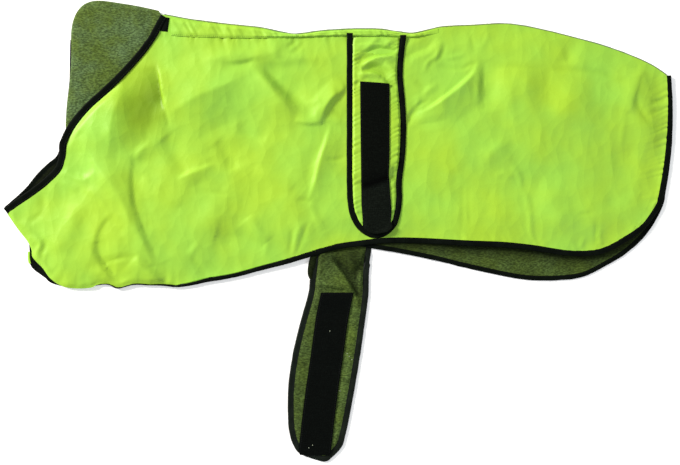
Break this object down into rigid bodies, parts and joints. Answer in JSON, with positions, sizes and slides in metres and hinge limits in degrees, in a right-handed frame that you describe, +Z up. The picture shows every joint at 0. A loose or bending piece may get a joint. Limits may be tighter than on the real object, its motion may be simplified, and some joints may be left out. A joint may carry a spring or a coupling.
{
  "type": "dog raincoat",
  "caption": "Bright yellow-green dog raincoat for a sighthound, folded along its back seam and laid flat, with turned-down mesh-lined collar and girth strap.",
  "frame": {"origin": "middle of the laid coat's footprint, on the surface it lies on", "axes": "+X from the chest to the tail, +Y from the belly to the back seam, +Z up from the surface"},
  "size_m": [1.0046, 0.6915, 0.0105],
  "materials": {
    "nylon": "fluorescent coated woven nylon, slightly satin",
    "mesh_lining": "dark knitted mesh over the bright shell, matt",
    "edge_tape": "black folded edge tape, soft sheen",
    "hook_tape": "black hook tape with fine ribs",
    "loop_tape": "black brushed loop tape, matt",
    "seam": "rolled seam edge, olive in its own shade"
  },
  "bodies": {
    "root": {"near_shell": "nylon", "far_shell": "nylon", "far_lining": "mesh_lining", "near_collar": "mesh_lining", "far_collar": "mesh_lining", "near_neck_binding": "edge_tape", "far_neck_binding": "edge_tape", "near_hem_binding": "edge_tape", "far_hem_binding": "edge_tape", "chest_binding": "edge_tape", "spine_roll": "seam", "back_band": "nylon", "band_end": "edge_tape", "near_strap_cloth": "nylon", "near_strap_binding": "edge_tape", "hook_tape": "hook_tape", "belly_strap_shell": "nylon", "belly_strap_lining": "mesh_lining", "belly_strap_binding": "edge_tape", "loop_tape": "loop_tape"}
  },
  "joints": []
}
